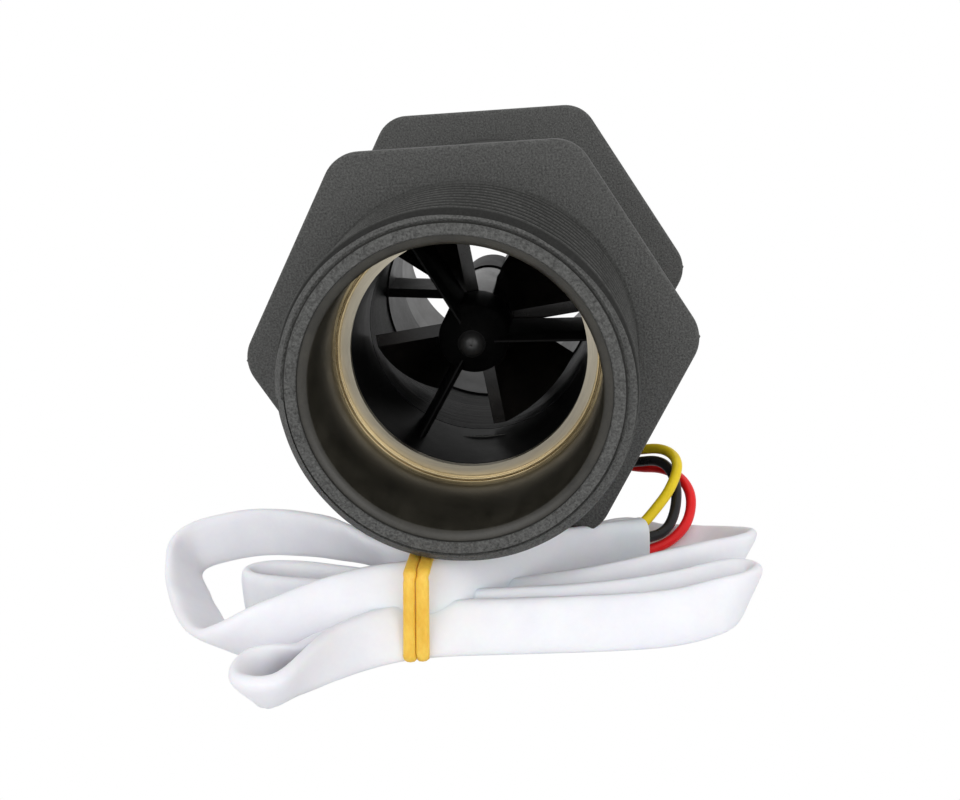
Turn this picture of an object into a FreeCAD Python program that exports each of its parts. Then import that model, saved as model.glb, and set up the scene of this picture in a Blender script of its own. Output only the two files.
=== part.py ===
"""Axial turbine flow meter with male pipe threads at both ends.

Millimetres. The pipe axis is Y, flow runs towards +Y and Z is up. The origin is on the pipe axis in the
plane of the inlet shoulder, where a fitting seats. The meter stands on the cover of its sensor box.
"""
import FreeCAD, Part
import math
import os
import re
import Sketcher

Vector = FreeCAD.Vector
Rotation = FreeCAD.Rotation
Placement = FreeCAD.Placement

doc = FreeCAD.newDocument("FlowMeter")
sheet = doc.addObject("Spreadsheet::Sheet", "Sheet")

sizes = {
    # male pipe threads, G1-1/2, left as plain cylinders
    "thread_radius": 23.9, "thread_length": 22.5, "thread_lead": 1.3,
    # moulded body: two hexagons on a barrel, with the bore through it
    "hex_flats": 58.0, "hex_width": 9.0, "hex_corner": 5.5, "hex_bevel": 0.5, "hex_gap": 41.0,
    "barrel_radius": 24.2, "bore_radius": 19.2, "mouth_chamfer": 1.4, "mouth_depth": 1.0,
    "land_radius": 17.4, "land_length": 8.0,
    # retaining ring and washer at the inlet
    "ring_depth": 19.2, "ring_width": 1.2, "ring_grip": 0.8, "ring_reach": 0.9, "coil_slit": 0.12,
    "groove_play": 0.05, "washer_width": 1.0,
    # cartridge: a support with vanes at each end of the measuring sleeve
    "fit_gap": 0.15, "end_gap": 0.05, "cartridge_wall": 2.15, "passage_step": 0.3, "step_place": 4.2,
    "sleeve_length": 19.6, "support_length": 16.9, "hub_radius": 5.2, "nose_place": 3.0,
    "nose_radius": 2.0, "nose_bevel": 0.4, "cone_length": 4.1, "dimple_radius": 0.5, "dimple_depth": 0.25,
    "vane_place": 5.5, "vane_length": 11.2, "vane_width": 1.5, "vane_edge": 0.5, "vane_taper": 3.0,
    "front_angle": -2.0, "rear_angle": 5.0,
    # bushes, shaft and thrust washers
    "shaft_radius": 1.5, "running_gap": 0.04, "press_gap": 0.01, "bush_wall": 1.1, "bush_length": 5.0,
    "shaft_pocket": 1.0, "shaft_end_gap": 0.4, "thrust_radius": 3.2, "thrust_width": 0.4, "thrust_gap": 0.2,
    # rotor
    "rotor_hub": 5.0, "hub_bevel": 0.5, "blade_tip_gap": 0.6, "blade_width": 1.9, "blade_length": 12.7,
    "blade_angle": 47.0, "blade_root": 4.4, "rotor_angle": 7.0,
    "magnet_radius": 1.0, "magnet_length": 4.0, "magnet_circle": 3.3,
    # sensor box below the barrel
    "box_width": 34.0, "box_length": 36.0, "box_depth": 33.0, "box_corner": 2.5,
    "side_wall": 2.5, "end_wall": 6.5, "sensor_wall": 3.2, "board_shelf": 5.5, "board_ledge": 4.5,
    "chip_room": 1.9,
    "gasket_wall": 1.8, "gasket_thick": 0.8, "cover_thick": 3.2, "cover_bevel": 0.5,
    "screw_inset": 3.0, "screw_radius": 1.2, "hole_play": 0.25,
    "head_radius": 2.4, "head_thick": 1.5, "head_sink": 0.3, "head_play": 0.2, "screw_bite": 7.0,
    # circuit board
    "board_side_play": 3.5, "board_play": 2.5, "board_thick": 1.2,
    "chip_width": 4.1, "chip_length": 3.0, "chip_thick": 1.6,
    "resistor_width": 2.0, "resistor_length": 1.25, "resistor_thick": 0.6, "resistor_reach": 5.5,
    # cable exit
    "exit_offset": -1.0, "exit_rise": 6.0, "exit_radius": 2.6, "grommet_play": 0.05,
    "grommet_lip": 0.9, "grommet_flange": 1.2, "wire_radius": 0.8,
    # flat cable sleeve, folded into a hank and tied with a rubber band
    "tape_width": 7.6, "tape_thick": 2.4, "hank_thick": 12.4, "band_place": -6.0, "band_width": 3.6,
    "band_thick": 1.3, "band_near": -24.1, "band_far": -9.9, "band_play": 0.05,
    "waist_spread": 3.0,
}

derived = {
    "inlet_face": "-thread_length",
    "outlet_shoulder": "2 * hex_width + hex_gap",
    "outlet_face": "outlet_shoulder + thread_length",
    "body_middle": "outlet_shoulder / 2",
    "ring_start": "inlet_face + ring_depth",
    "washer_start": "ring_start + ring_width + end_gap",
    "cartridge_start": "washer_start + washer_width + end_gap",
    "sleeve_start": "cartridge_start + support_length + end_gap",
    "rear_start": "sleeve_start + sleeve_length + end_gap",
    "cartridge_end": "rear_start + support_length",
    "seat_place": "cartridge_end + end_gap",
    "cartridge_radius": "bore_radius - fit_gap",
    "passage_radius": "cartridge_radius - cartridge_wall",
    "hub_end": "vane_place + vane_length",
    "bush_radius": "shaft_radius + running_gap + bush_wall",
    "bush_hole": "shaft_radius + running_gap",
    "rotor_start": "cartridge_start + hub_end + thrust_width + thrust_gap",
    "rotor_end": "cartridge_end - hub_end - thrust_width - thrust_gap",
    "shaft_start": "cartridge_start + hub_end - bush_length - shaft_pocket + shaft_end_gap",
    "shaft_end": "cartridge_end - hub_end + bush_length + shaft_pocket - shaft_end_gap",
    "blade_tip": "passage_radius - blade_tip_gap",
    "cavity_width": "box_width - 2 * side_wall",
    "cavity_length": "box_length - 2 * end_wall",
    "chip_pocket_roof": "bore_radius + sensor_wall",
    "cavity_roof": "chip_pocket_roof + chip_room",
    "chip_pocket_width": "cavity_width - 2 * board_shelf",
    "chip_pocket_length": "cavity_length - 2 * board_ledge",
    "screw_across": "box_width - 2 * screw_inset",
    "screw_along": "box_length - 2 * screw_inset",
    "exit_place": "body_middle + exit_offset",
    "exit_height": "box_depth - exit_rise",
    "cover_top": "-box_depth - gasket_thick",
    "stand_height": "cover_top - cover_thick",
    "head_place": "stand_height + head_sink",
}
names = set(sizes) | set(derived)


def cells(formula):
    """The formula with every size name read from the sheet."""
    return re.sub(r"[a-z_]+", lambda word: "Sheet." + word[0] if word[0] in names else word[0], formula)


def fill_sheet():
    rows = [(name, str(value)) for name, value in sizes.items()]
    rows += [(name, "=" + formula) for name, formula in derived.items()]
    for row, (name, content) in enumerate(rows, start=1):
        sheet.set("A%d" % row, name)
        sheet.set("B%d" % row, content)
        sheet.setAlias("B%d" % row, name)
    doc.recompute()


fill_sheet()


def size(name):
    return float(sheet.get(name))


def new_body(label):
    body = doc.addObject("PartDesign::Body", label)
    body.Label = label
    return body


def origin_feature(body, role):
    return next(feature for feature in body.Origin.OriginFeatures if feature.Role == role)


def new_sketch(body, name, role, offset=None):
    """A sketch on one of the body's origin planes, moved along the plane's normal by a formula."""
    sketch = body.newObject("Sketcher::SketchObject", name)
    sketch.AttachmentSupport = [(origin_feature(body, role), "")]
    sketch.MapMode = "FlatFace"
    if offset:
        sketch.setExpression("AttachmentOffset.Base.z", cells(offset))
    return sketch


def tie(sketch, geometry, point, across, along):
    """Fix a sketch point by two formulas, its distances from the sketch's origin."""
    spot = sketch.getPoint(geometry, point)
    for kind, formula, here, axis in (("DistanceX", across, spot.x, -2), ("DistanceY", along, spot.y, -1)):
        if formula == "0":
            sketch.addConstraint(Sketcher.Constraint("PointOnObject", geometry, point, axis))
            continue
        index = sketch.addConstraint(Sketcher.Constraint(kind, -1, 1, geometry, point, here))
        sketch.setExpression("Constraints[%d]" % index, cells(formula))


def draw_outline(sketch, corners):
    """A closed run of straight edges, each corner given by two formulas; it starts as a loose polygon."""
    count = len(corners)
    start = sketch.GeometryCount
    middle, reach, turn = Vector(20, 20, 0), 9, 2 * math.pi / count
    spots = [middle + Vector(math.cos(k * turn), math.sin(k * turn), 0) * reach for k in range(count)]
    for k in range(count):
        sketch.addGeometry(Part.LineSegment(spots[k], spots[(k + 1) % count]))
    for k in range(count):
        sketch.addConstraint(Sketcher.Constraint("Coincident", start + k, 2, start + (k + 1) % count, 1))
    for k, (across, along) in enumerate(corners):
        tie(sketch, start + k, 1, across, along)


def draw_rectangle(sketch, middle, width, length):
    low, high = "-(%s) / 2" % width, "(%s) / 2" % width
    near, far = "%s - (%s) / 2" % (middle, length), "%s + (%s) / 2" % (middle, length)
    draw_outline(sketch, [(low, near), (high, near), (high, far), (low, far)])


def draw_circle(sketch, radius, across="0", along="0"):
    circle = sketch.addGeometry(Part.Circle(Vector(3, 3, 0), Vector(0, 0, 1), 2))
    index = sketch.addConstraint(Sketcher.Constraint("Radius", circle, 2.0))
    sketch.setExpression("Constraints[%d]" % index, cells(radius))
    tie(sketch, circle, 3, across, along)


def finish_feature(body, feature):
    body.Tip = feature
    doc.recompute()
    return feature


def revolve(body, name, corners, kind="Revolution"):
    """Turn an outline of (radius, place along Y) corners about the Y axis."""
    sketch = new_sketch(body, name + "Outline", "XY_Plane")
    draw_outline(sketch, corners)
    feature = body.newObject("PartDesign::" + kind, name)
    feature.Profile = sketch
    feature.ReferenceAxis = (sketch, ["V_Axis"])
    feature.Angle = 360
    return finish_feature(body, feature)


def extrude(body, name, sketch, length, kind="Pad", backwards=False):
    """Pad along the sketch's normal, or Pocket against it; backwards turns either round."""
    feature = body.newObject("PartDesign::" + kind, name)
    feature.Profile = sketch
    feature.setExpression("Length", cells(length))
    feature.Reversed = backwards
    return finish_feature(body, feature)


def dress_edges(body, kind, name, wanted, amount):
    """Fillet or Chamfer the tip's edges that the test function wants."""
    base = body.Tip
    edges = ["Edge%d" % k for k, edge in enumerate(base.Shape.Edges, start=1) if wanted(edge)]
    feature = body.newObject("PartDesign::" + kind, name)
    feature.Base = (base, edges)
    feature.setExpression("Radius" if kind == "Fillet" else "Size", cells(amount))
    return finish_feature(body, feature)


def repeat_about_pipe(body, name, feature, count):
    """Repeat a feature evenly about the pipe axis."""
    pattern = body.newObject("PartDesign::PolarPattern", name)
    pattern.Originals = [feature]
    pattern.Axis = (origin_feature(body, "Y_Axis"), [""])
    pattern.Angle = 360
    pattern.Occurrences = count
    return finish_feature(body, pattern)


def place_by_sheet(thing, across="0", along="0", up="0"):
    for letter, formula in (("x", across), ("y", along), ("z", up)):
        thing.setExpression("Placement.Base." + letter, cells(formula))


def cylinder(name, radius, length, across="0", along="0", up="0", turn=None):
    """A Part cylinder whose foot is placed by formulas; it points up unless turned."""
    thing = doc.addObject("Part::Cylinder", name)
    thing.setExpression("Radius", cells(radius))
    thing.setExpression("Height", cells(length))
    if turn:
        thing.Placement = Placement(Vector(), turn)
    place_by_sheet(thing, across, along, up)
    return thing


def block(name, width, length, thick, across="0", along="0", up="0"):
    """A Part box centred on a point in plan, its underside at the height given."""
    thing = doc.addObject("Part::Box", name)
    thing.setExpression("Length", cells(width))
    thing.setExpression("Width", cells(length))
    thing.setExpression("Height", cells(thick))
    place_by_sheet(thing, "%s - (%s) / 2" % (across, width), "%s - (%s) / 2" % (along, length), up)
    return thing


def join(kind, label, *things):
    """A Part boolean of two things, or a compound of several."""
    result = doc.addObject("Part::" + kind, label)
    result.Label = label
    if kind == "Compound":
        result.Links = list(things)
    else:
        result.Base, result.Tool = things
    return result


along_pipe = Rotation(Vector(1, 0, 0), -90)
across_pipe = Rotation(Vector(0, 1, 0), 90)


# ---- moulded body ----

def is_hex_corner(edge):
    reach = size("hex_flats") / math.sqrt(3)
    ends = [math.hypot(vertex.X, vertex.Z) for vertex in edge.Vertexes]
    return len(ends) == 2 and all(abs(end - reach) < 0.01 for end in ends) and edge.BoundBox.YLength > 1


def is_hex_rim(edge):
    box = edge.BoundBox
    faces = [0, size("outlet_shoulder")]
    middle = edge.valueAt(edge.FirstParameter)
    outside = math.hypot(middle.x, middle.z) > size("hex_flats") / 2 - 0.01
    return outside and box.YLength < 0.01 and any(abs(box.YMin - face) < 0.01 for face in faces)


def is_box_corner(edge):
    box = edge.BoundBox
    side = abs(abs(box.XMin) - size("box_width") / 2) < 0.01
    end = abs(abs(box.YMin - size("body_middle")) - size("box_length") / 2) < 0.01
    return side and end and box.XLength < 0.01 and box.YLength < 0.01


def make_body():
    body = new_body("body")
    rim = "thread_radius - thread_lead"
    revolve(body, "Outside", [
        ("0", "inlet_face"), (rim, "inlet_face"), ("thread_radius", "inlet_face + thread_lead"),
        ("thread_radius", "0"), ("barrel_radius", "0"), ("barrel_radius", "outlet_shoulder"),
        ("thread_radius", "outlet_shoulder"), ("thread_radius", "outlet_face - thread_lead"),
        (rim, "outlet_face"), ("0", "outlet_face")])
    reach = "hex_flats / sqrt(3)"
    flat = "hex_flats / 2"
    for name, near in (("InletHex", "0"), ("OutletHex", "hex_width + hex_gap")):
        sketch = new_sketch(body, name + "Outline", "XZ_Plane", "-(%s)" % near)
        draw_outline(sketch, [
            (reach, "0"), (reach + " / 2", flat), ("-%s / 2" % reach, flat),
            ("-" + reach, "0"), ("-%s / 2" % reach, "-" + flat), (reach + " / 2", "-" + flat)])
        extrude(body, name, sketch, "hex_width", backwards=True)
    dress_edges(body, "Fillet", "HexCorners", is_hex_corner, "hex_corner")
    dress_edges(body, "Chamfer", "HexBevels", is_hex_rim, "hex_bevel")
    sketch = new_sketch(body, "BoxOutline", "XY_Plane", "-box_depth")
    draw_rectangle(sketch, "body_middle", "box_width", "box_length")
    extrude(body, "Box", sketch, "box_depth")
    dress_edges(body, "Fillet", "BoxCorners", is_box_corner, "box_corner")
    mouth = "bore_radius + mouth_chamfer"
    groove = "bore_radius + ring_grip"
    revolve(body, "Bore", [
        ("0", "inlet_face"), (mouth, "inlet_face"), ("bore_radius", "inlet_face + mouth_depth"),
        ("bore_radius", "ring_start - groove_play"),
        (groove, "ring_start - groove_play"), (groove, "ring_start + ring_width"),
        ("bore_radius", "ring_start + ring_width"), ("bore_radius", "seat_place"),
        ("land_radius", "seat_place"), ("land_radius", "seat_place + land_length"),
        ("bore_radius", "seat_place + land_length"), ("bore_radius", "outlet_face - mouth_depth"),
        (mouth, "outlet_face"), ("0", "outlet_face")], kind="Groove")
    sketch = new_sketch(body, "CavityOutline", "XY_Plane", "-box_depth")
    draw_rectangle(sketch, "body_middle", "cavity_width", "cavity_length")
    extrude(body, "Cavity", sketch, "box_depth - cavity_roof", kind="Pocket", backwards=True)
    sketch = new_sketch(body, "ChipPocketOutline", "XY_Plane", "-cavity_roof")
    draw_rectangle(sketch, "body_middle", "chip_pocket_width", "chip_pocket_length")
    extrude(body, "ChipPocket", sketch, "cavity_roof - chip_pocket_roof", kind="Pocket", backwards=True)
    sketch = new_sketch(body, "ScrewHoleOutline", "XY_Plane", "-box_depth")
    for across, along in screw_places():
        draw_circle(sketch, "screw_radius", across, along)
    extrude(body, "ScrewHoles", sketch, "screw_bite", kind="Pocket", backwards=True)
    sketch = new_sketch(body, "CableHoleOutline", "YZ_Plane", "box_width / 2")
    draw_circle(sketch, "exit_radius", "exit_place", "-exit_height")
    extrude(body, "CableHole", sketch, "box_width / 2 - cavity_width / 2", kind="Pocket")
    return body


# ---- retaining ring, washer, supports and sleeve ----

def make_snap_ring():
    """Flat two-coil ring: the slit between the coils is open on its inner edge."""
    body = new_body("snap_ring")
    outer = "bore_radius + ring_grip - groove_play"
    inner = "bore_radius - ring_reach"
    low = "ring_start + ring_width / 2 - coil_slit / 2"
    high = "ring_start + ring_width / 2 + coil_slit / 2"
    revolve(body, "Coils", [
        (inner, "ring_start"), (outer, "ring_start"), (outer, "ring_start + ring_width - groove_play"),
        (inner, "ring_start + ring_width - groove_play"), (inner, high), ("bore_radius", high),
        ("bore_radius", low), (inner, low)])
    return body


def make_washer():
    body = new_body("retaining_washer")
    revolve(body, "Disc", tube_outline(
        "passage_radius", "cartridge_radius", "washer_start", "washer_start + washer_width"))
    return body


def tube_outline(inner, outer, near, far):
    return [(inner, near), (outer, near), (outer, far), (inner, far)]


def make_support(label, place, turn, facing):
    """Ring, three radial vanes and a pointed hub, nose towards -Y; facing turns it end for end."""
    body = new_body(label)
    revolve(body, "Ring", tube_outline("passage_radius", "cartridge_radius", "0", "support_length"))
    sketch = new_sketch(body, "VaneOutline", "YZ_Plane", "bush_radius")
    half, thin = "vane_width / 2", "vane_edge / 2"
    full = "vane_place + vane_taper"
    draw_outline(sketch, [
        ("vane_place", thin), ("vane_place", "-" + thin), (full, "-" + half), ("hub_end", "-" + half),
        ("hub_end", half), (full, half)])
    vane = extrude(body, "Vane", sketch, "passage_radius + fit_gap - bush_radius")
    repeat_about_pipe(body, "Vanes", vane, 3)
    revolve(body, "Hub", [
        ("0", "nose_place + dimple_depth"), ("dimple_radius", "nose_place"),
        ("nose_radius - nose_bevel", "nose_place"), ("nose_radius", "nose_place + nose_bevel"),
        ("hub_radius", "nose_place + nose_bevel + cone_length"), ("hub_radius", "hub_end"),
        ("0", "hub_end")])
    hole = "bush_radius + press_gap"
    revolve(body, "BushPocket", [
        ("0", "hub_end"), (hole, "hub_end"), (hole, "hub_end - bush_length"),
        ("bush_hole", "hub_end - bush_length"), ("bush_hole", "hub_end - bush_length - shaft_pocket"),
        ("0", "hub_end - bush_length - shaft_pocket")], kind="Groove")
    about_pipe = Rotation(Vector(0, 1, 0), -size(turn))
    body.Placement = Placement(Vector(), Rotation(Vector(0, 0, 1), facing).multiply(about_pipe))
    place_by_sheet(body, along=place)
    return body


def make_sleeve():
    body = new_body("measuring_sleeve")
    wide = "passage_radius + passage_step"
    revolve(body, "Sleeve", [
        ("passage_radius", "sleeve_start"), ("cartridge_radius", "sleeve_start"),
        ("cartridge_radius", "sleeve_start + sleeve_length"), (wide, "sleeve_start + sleeve_length"),
        (wide, "sleeve_start + step_place"), ("passage_radius", "sleeve_start + step_place")])
    return body


def make_bush(label, near):
    body = new_body(label)
    revolve(body, "Bush", tube_outline("bush_hole", "bush_radius", near, near + " + bush_length"))
    return body


def make_thrust_washers():
    rings = []
    places = {"Front": "cartridge_start + hub_end", "Rear": "cartridge_end - hub_end - thrust_width"}
    for name, near in places.items():
        disc = cylinder(name + "ThrustDisc", "thrust_radius", "thrust_width", along=near, turn=along_pipe)
        hole = cylinder(name + "ThrustHole", "bush_hole", "thrust_width", along=near, turn=along_pipe)
        rings.append(join("Cut", name + "Thrust", disc, hole))
    return join("Compound", "thrust_washers", *rings)


# ---- rotor ----

def make_rotor():
    """Hub with four blades; each blade is a radial bar lofted along the pipe while it turns."""
    body = new_body("rotor")
    bore = "shaft_radius + press_gap"
    shoulder = "rotor_hub - hub_bevel"
    revolve(body, "Hub", [
        (bore, "rotor_start"), (shoulder, "rotor_start"), ("rotor_hub", "rotor_start + hub_bevel"),
        ("rotor_hub", "rotor_end - hub_bevel"), (shoulder, "rotor_end"), (bore, "rotor_end")])
    sections = []
    steps = 4
    for step in range(steps + 1):
        along = "rotor_start + blade_length * %d / %d" % (step, steps)
        sketch = new_sketch(body, "BladeSection%d" % step, "XZ_Plane", "-(%s)" % along)
        sketch.AttachmentOffset = Placement(Vector(), Rotation(Vector(0, 0, 1), 10))
        turn = "rotor_angle + blade_angle * %d / %d" % (step, steps)
        sketch.setExpression("AttachmentOffset.Rotation.Angle", cells(turn))
        draw_outline(sketch, [
            ("blade_root", "-blade_width / 2"), ("blade_tip", "-blade_width / 2"),
            ("blade_tip", "blade_width / 2"), ("blade_root", "blade_width / 2")])
        sections.append(sketch)
    doc.recompute()
    blade = body.newObject("PartDesign::AdditiveLoft", "Blade")
    blade.Profile = sections[0]
    blade.Sections = sections[1:]
    finish_feature(body, blade)
    repeat_about_pipe(body, "Blades", blade, 4)
    sketch = new_sketch(body, "MagnetHoleOutline", "XZ_Plane", "-rotor_end")
    for across, along in magnet_places():
        draw_circle(sketch, "magnet_radius + press_gap", across, along)
    extrude(body, "MagnetHoles", sketch, "magnet_length", kind="Pocket", backwards=True)
    return body


def magnet_places():
    """Four magnets on a circle, on the two diagonals."""
    reach = "magnet_circle / sqrt(2)"
    return [(reach, reach), ("-" + reach, reach), ("-" + reach, "-" + reach), (reach, "-" + reach)]


def make_magnets():
    magnets = []
    for k, (across, up) in enumerate(magnet_places()):
        magnets.append(cylinder("Magnet%d" % k, "magnet_radius", "magnet_length",
                                across, "rotor_end - magnet_length", up, along_pipe))
    return join("Compound", "rotor_magnets", *magnets)


def make_shaft():
    length = "shaft_end - shaft_start"
    shaft = cylinder("rotor_shaft", "shaft_radius", length, along="shaft_start", turn=along_pipe)
    shaft.Label = "rotor_shaft"
    return shaft


# ---- sensor box ----

def screw_places():
    across, along = "screw_across / 2", "screw_along / 2"
    return [(side + across, "body_middle %s %s" % (end, along)) for side in ("", "-") for end in ("-", "+")]


def make_gasket():
    body = new_body("cover_gasket")
    sketch = new_sketch(body, "GasketOutline", "XY_Plane", "cover_top")
    draw_rectangle(sketch, "body_middle", "cavity_width + 2 * gasket_wall", "cavity_length + 2 * gasket_wall")
    draw_rectangle(sketch, "body_middle", "cavity_width", "cavity_length")
    extrude(body, "Gasket", sketch, "gasket_thick")
    return body


def is_cover_edge(edge):
    box = edge.BoundBox
    return box.ZLength < 0.01 and abs(box.ZMin - size("stand_height")) < 0.01


def make_cover():
    body = new_body("sensor_cover")
    sketch = new_sketch(body, "PlateOutline", "XY_Plane", "stand_height")
    draw_rectangle(sketch, "body_middle", "box_width", "box_length")
    extrude(body, "Plate", sketch, "cover_thick")
    dress_edges(body, "Fillet", "PlateCorners", is_box_corner, "box_corner")
    dress_edges(body, "Chamfer", "PlateBevel", is_cover_edge, "cover_bevel")
    sketch = new_sketch(body, "HoleOutline", "XY_Plane", "cover_top")
    for across, along in screw_places():
        draw_circle(sketch, "screw_radius + hole_play", across, along)
    extrude(body, "Holes", sketch, "cover_thick", kind="Pocket")
    sketch = new_sketch(body, "CounterboreOutline", "XY_Plane", "stand_height")
    for across, along in screw_places():
        draw_circle(sketch, "head_radius + head_play", across, along)
    extrude(body, "Counterbores", sketch, "head_thick + head_sink", kind="Pocket", backwards=True)
    return body


def make_screws():
    screws = []
    for k, (across, along) in enumerate(screw_places()):
        head = cylinder("ScrewHead%d" % k, "head_radius", "head_thick", across, along, "head_place")
        length = "-box_depth + screw_bite - head_place - 2 * end_gap"
        shank = cylinder("ScrewShank%d" % k, "screw_radius - press_gap", length, across, along, "head_place")
        screws.append(join("Fuse", "Screw%d" % k, head, shank))
    return join("Compound", "cover_screws", *screws)


def make_board():
    board = block("circuit_board", "cavity_width - 2 * board_side_play", "cavity_length - 2 * board_play",
                  "board_thick", "0", "body_middle", "-cavity_roof - board_thick")
    board.Label = "circuit_board"
    return board


def make_chip():
    chip = block("hall_chip", "chip_width", "chip_length", "chip_thick", "0", "body_middle", "-cavity_roof")
    chip.Label = "hall_chip"
    return chip


def make_resistors():
    resistors = []
    for name, side in (("PullUp", "-"), ("Series", "")):
        resistors.append(block(name, "resistor_width", "resistor_length", "resistor_thick",
                               side + "resistor_reach", "body_middle", "-cavity_roof"))
    return join("Compound", "board_resistors", *resistors)


def make_grommet():
    wall = "box_width / 2 - cavity_width / 2"
    shank = cylinder("GrommetShank", "exit_radius - grommet_play", wall,
                     "cavity_width / 2", "exit_place", "-exit_height", across_pipe)
    flange = cylinder("GrommetFlange", "exit_radius + grommet_lip", "grommet_flange",
                      "box_width / 2", "exit_place", "-exit_height", across_pipe)
    return join("Fuse", "cable_grommet", shank, flange)


# ---- wires, sleeve and band ----

def route_path(points):
    """Straight runs joined by tangent arcs, each arc as large as its two runs allow."""
    corners = [Vector(*point) for point in points]
    edges = []
    radii = []
    here = corners[0]
    for before, corner, after in zip(corners, corners[1:], corners[2:]):
        incoming, outgoing = (corner - before), (after - corner)
        reach = 0.45 * min(incoming.Length, outgoing.Length)
        turn = incoming.getAngle(outgoing)
        radii.append(reach / math.tan(turn / 2))
        incoming.normalize()
        outgoing.normalize()
        start, end = corner - incoming * reach, corner + outgoing * reach
        bisector = outgoing - incoming
        bisector.normalize()
        sagitta = radii[-1] / math.cos(turn / 2) - radii[-1]
        edges.append(Part.LineSegment(here, start).toShape())
        edges.append(Part.Arc(start, corner + bisector * sagitta, end).toShape())
        here = end
    edges.append(Part.LineSegment(here, corners[-1]).toShape())
    return Part.Wire(edges), radii


def sweep(label, section, points):
    """Sweep a closed section, drawn at the first point, along the route."""
    path, radii = route_path(points)
    solid = path.makePipe(Part.Face(section))
    swept = Part.Face(section).Area * path.Length
    print("%s: length %.1f, smallest radius %.1f, volume %.1f of %.1f"
          % (label, path.Length, min(radii), solid.Volume, swept))
    thing = doc.addObject("Part::Feature", label)
    thing.Label = label
    thing.Shape = solid
    return thing


def make_wire(label, points):
    start, following = Vector(*points[0]), Vector(*points[1])
    circle = Part.Circle(start, following - start, size("wire_radius"))
    return sweep(label, Part.Wire(circle.toShape()), points)


def exit_point(across, up):
    """A wire's start on the grommet's outer face, off its centre by the two distances."""
    face = size("box_width") / 2 + size("grommet_flange")
    return (face, size("exit_place") + across, -size("exit_height") + up)


wire_routes = {
    "wire_yellow": [exit_point(0.0, 1.1), (22.6, 26.1, -24.6), (27.4, 20.7, -22.4), (29.7, 15.1, -23.2),
                    (28.6, 11.1, -26.3), (25.9, 8.1, -28.6), (23.3, 5.9, -30.2)],
    "wire_black": [exit_point(-1.0, -0.6), (22.3, 25.1, -26.7), (27.2, 19.8, -24.6), (29.9, 14.9, -26.6),
                   (29.4, 10.5, -30.1), (26.8, 7.7, -32.3), (23.3, 5.9, -32.4)],
    "wire_red": [exit_point(1.0, -0.6), (22.8, 27.3, -28.4), (27.8, 22.1, -26.8), (31.3, 16.3, -28.2),
                 (30.9, 11.9, -31.8), (27.8, 8.3, -34.0), (23.3, 5.9, -34.6)],
}

tape_route = [(23.3, 5.9, -32.5), (15.8, 1.9, -33.05), (9.0, -2.5, -32.6), (4.0, -6.9, -31.2)]

hank_outline = [
    (-6.0, -24.1), (-16.0, -31.1), (-25.5, -36.7), (-31.5, -32.0), (-41.0, -20.5), (-46.3, -7.5),
    (-44.5, 6.0), (-37.5, 9.0), (-24.0, 3.0), (-12.0, -5.5), (-6.0, -9.9), (4.0, -7.1),
    (15.0, -4.5), (26.0, 0.5), (34.0, 4.5), (40.0, 2.0), (41.3, -6.5), (37.0, -16.5),
    (28.0, -24.3), (12.0, -25.7)]


def make_tape():
    """The flat sleeve from its mouth to the hank, standing on its edge."""
    start, following = Vector(*tape_route[0]), Vector(*tape_route[1])
    heading = (following - start).normalize()
    side = heading.cross(Vector(0, 0, 1)).normalize() * (size("tape_thick") / 2)
    edge = side.cross(heading).normalize() * (size("tape_width") / 2)
    corners = [start - side - edge, start + side - edge, start + side + edge, start - side + edge]
    return sweep("sleeve_lead", Part.makePolygon(corners + corners[:1]), tape_route)


def waist_box(play, inset):
    """The band's box across the bundle, longer along the bundle by play and smaller all round by inset."""
    width = size("band_width") + 2 * play
    span = size("band_far") - size("band_near") - 2 * inset
    corner = Vector(size("band_place") - width / 2, size("band_near") + inset, size("stand_height") + inset)
    return Part.makeBox(width, span, size("hank_thick") - 2 * inset, corner)


def make_hank():
    """The folded sleeve's outer shape, with a waist for the band."""
    curve = Part.BSplineCurve()
    points = [Vector(across, along, size("stand_height")) for across, along in hank_outline]
    curve.interpolate(Points=points, PeriodicFlag=True)
    bundle = Part.Face(Part.Wire(curve.toShape())).extrude(Vector(0, 0, size("hank_thick")))
    play = size("band_play")
    waist = bundle.cut(waist_box(play, -size("waist_spread")))
    thing = doc.addObject("Part::Feature", "cable_hank")
    thing.Label = "cable_hank"
    thing.Shape = waist.fuse(waist_box(play, size("band_thick") + play)).removeSplitter()
    return thing


def make_band():
    thing = doc.addObject("Part::Feature", "rubber_band")
    thing.Label = "rubber_band"
    thing.Shape = waist_box(0, 0).cut(waist_box(0, size("band_thick")))
    return thing


parts = [
    make_body(), make_snap_ring(), make_washer(),
    make_support("front_support", "cartridge_start", "front_angle", 0),
    make_support("rear_support", "cartridge_end", "rear_angle", 180), make_sleeve(),
    make_bush("front_bush", "cartridge_start + hub_end - bush_length"),
    make_bush("rear_bush", "cartridge_end - hub_end"), make_thrust_washers(),
    make_rotor(), make_shaft(), make_magnets(),
    make_gasket(), make_cover(), make_screws(), make_board(), make_chip(), make_resistors(), make_grommet(),
    make_tape(), make_hank(), make_band(),
]
parts += [make_wire(label, points) for label, points in wire_routes.items()]
doc.recompute()

for thing in doc.Objects:
    if "Invalid" in thing.State or "Error" in thing.State:
        raise RuntimeError("%s failed: %s" % (thing.Label, thing.State))
os.makedirs("parts", exist_ok=True)
for part in parts:
    shape = part.Shape
    if shape.isNull() or not shape.isValid():
        raise RuntimeError(part.Label + " has no valid shape")
    shape.exportStep("parts/%s.step" % part.Label)
    box = shape.BoundBox
    print("%-18s solids %d volume %9.1f  x %6.1f %6.1f  y %6.1f %6.1f  z %6.1f %6.1f" % (
        part.Label, len(shape.Solids), shape.Volume, box.XMin, box.XMax, box.YMin, box.YMax,
        box.ZMin, box.ZMax))
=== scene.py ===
import math

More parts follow.
